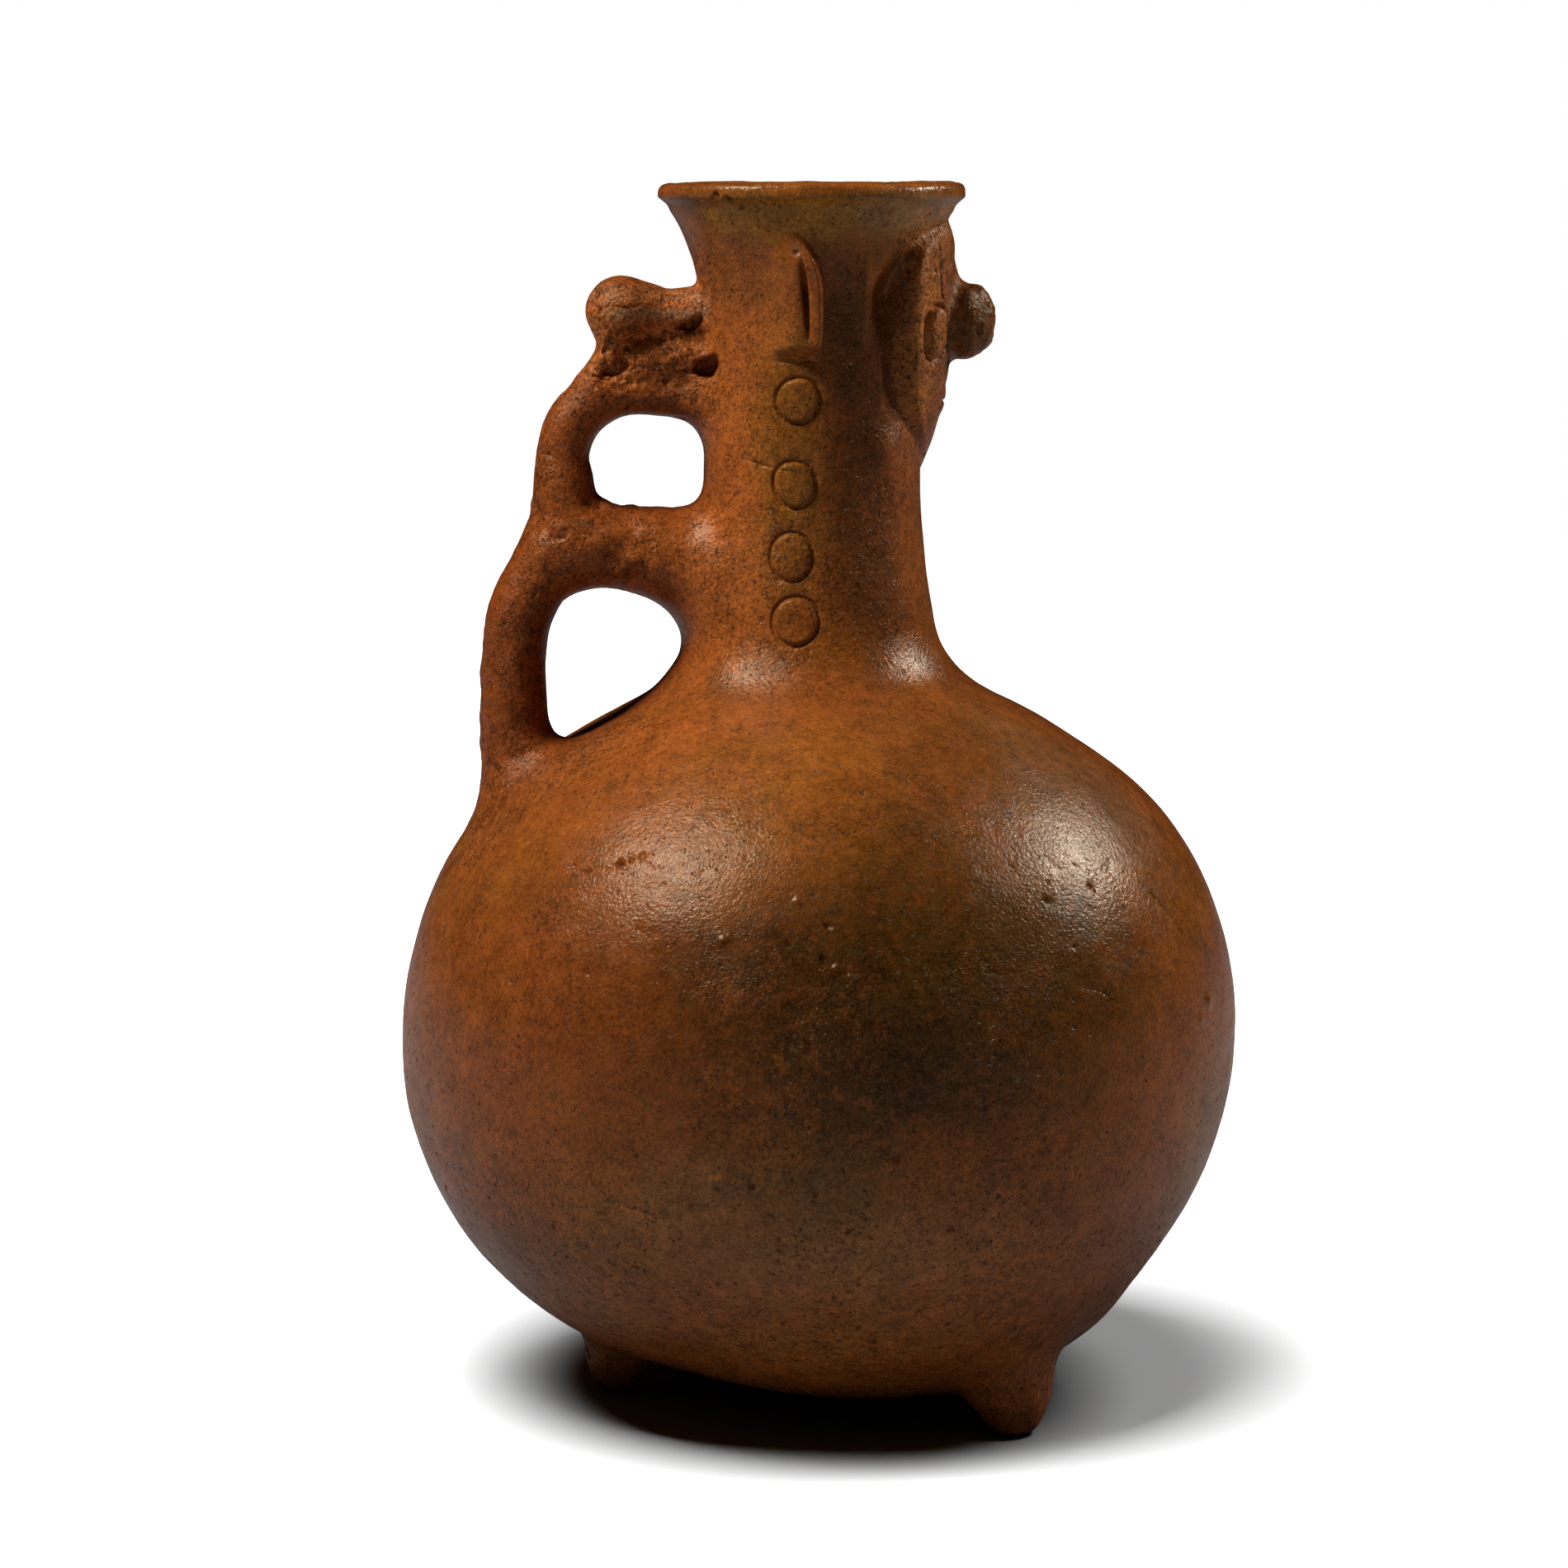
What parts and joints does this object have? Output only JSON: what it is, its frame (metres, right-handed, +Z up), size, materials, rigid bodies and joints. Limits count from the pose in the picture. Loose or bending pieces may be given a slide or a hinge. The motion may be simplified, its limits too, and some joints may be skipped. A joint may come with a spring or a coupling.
{
  "type": "terracotta jug",
  "caption": "Hand-built terracotta jug with a round belly on feet, a tall neck with a modelled face, a flared rim and a double loop handle.",
  "frame": {"origin": "on the floor under the centre of the belly", "axes": "+Z up, +X towards the face on the neck, -X towards the handle"},
  "size_m": [0.2262, 0.2262, 0.33],
  "materials": {
    "terracotta": "burnished earthenware with fire clouds, satin with matt worn places"
  },
  "bodies": {
    "root": {"jug": "terracotta"}
  },
  "joints": []
}
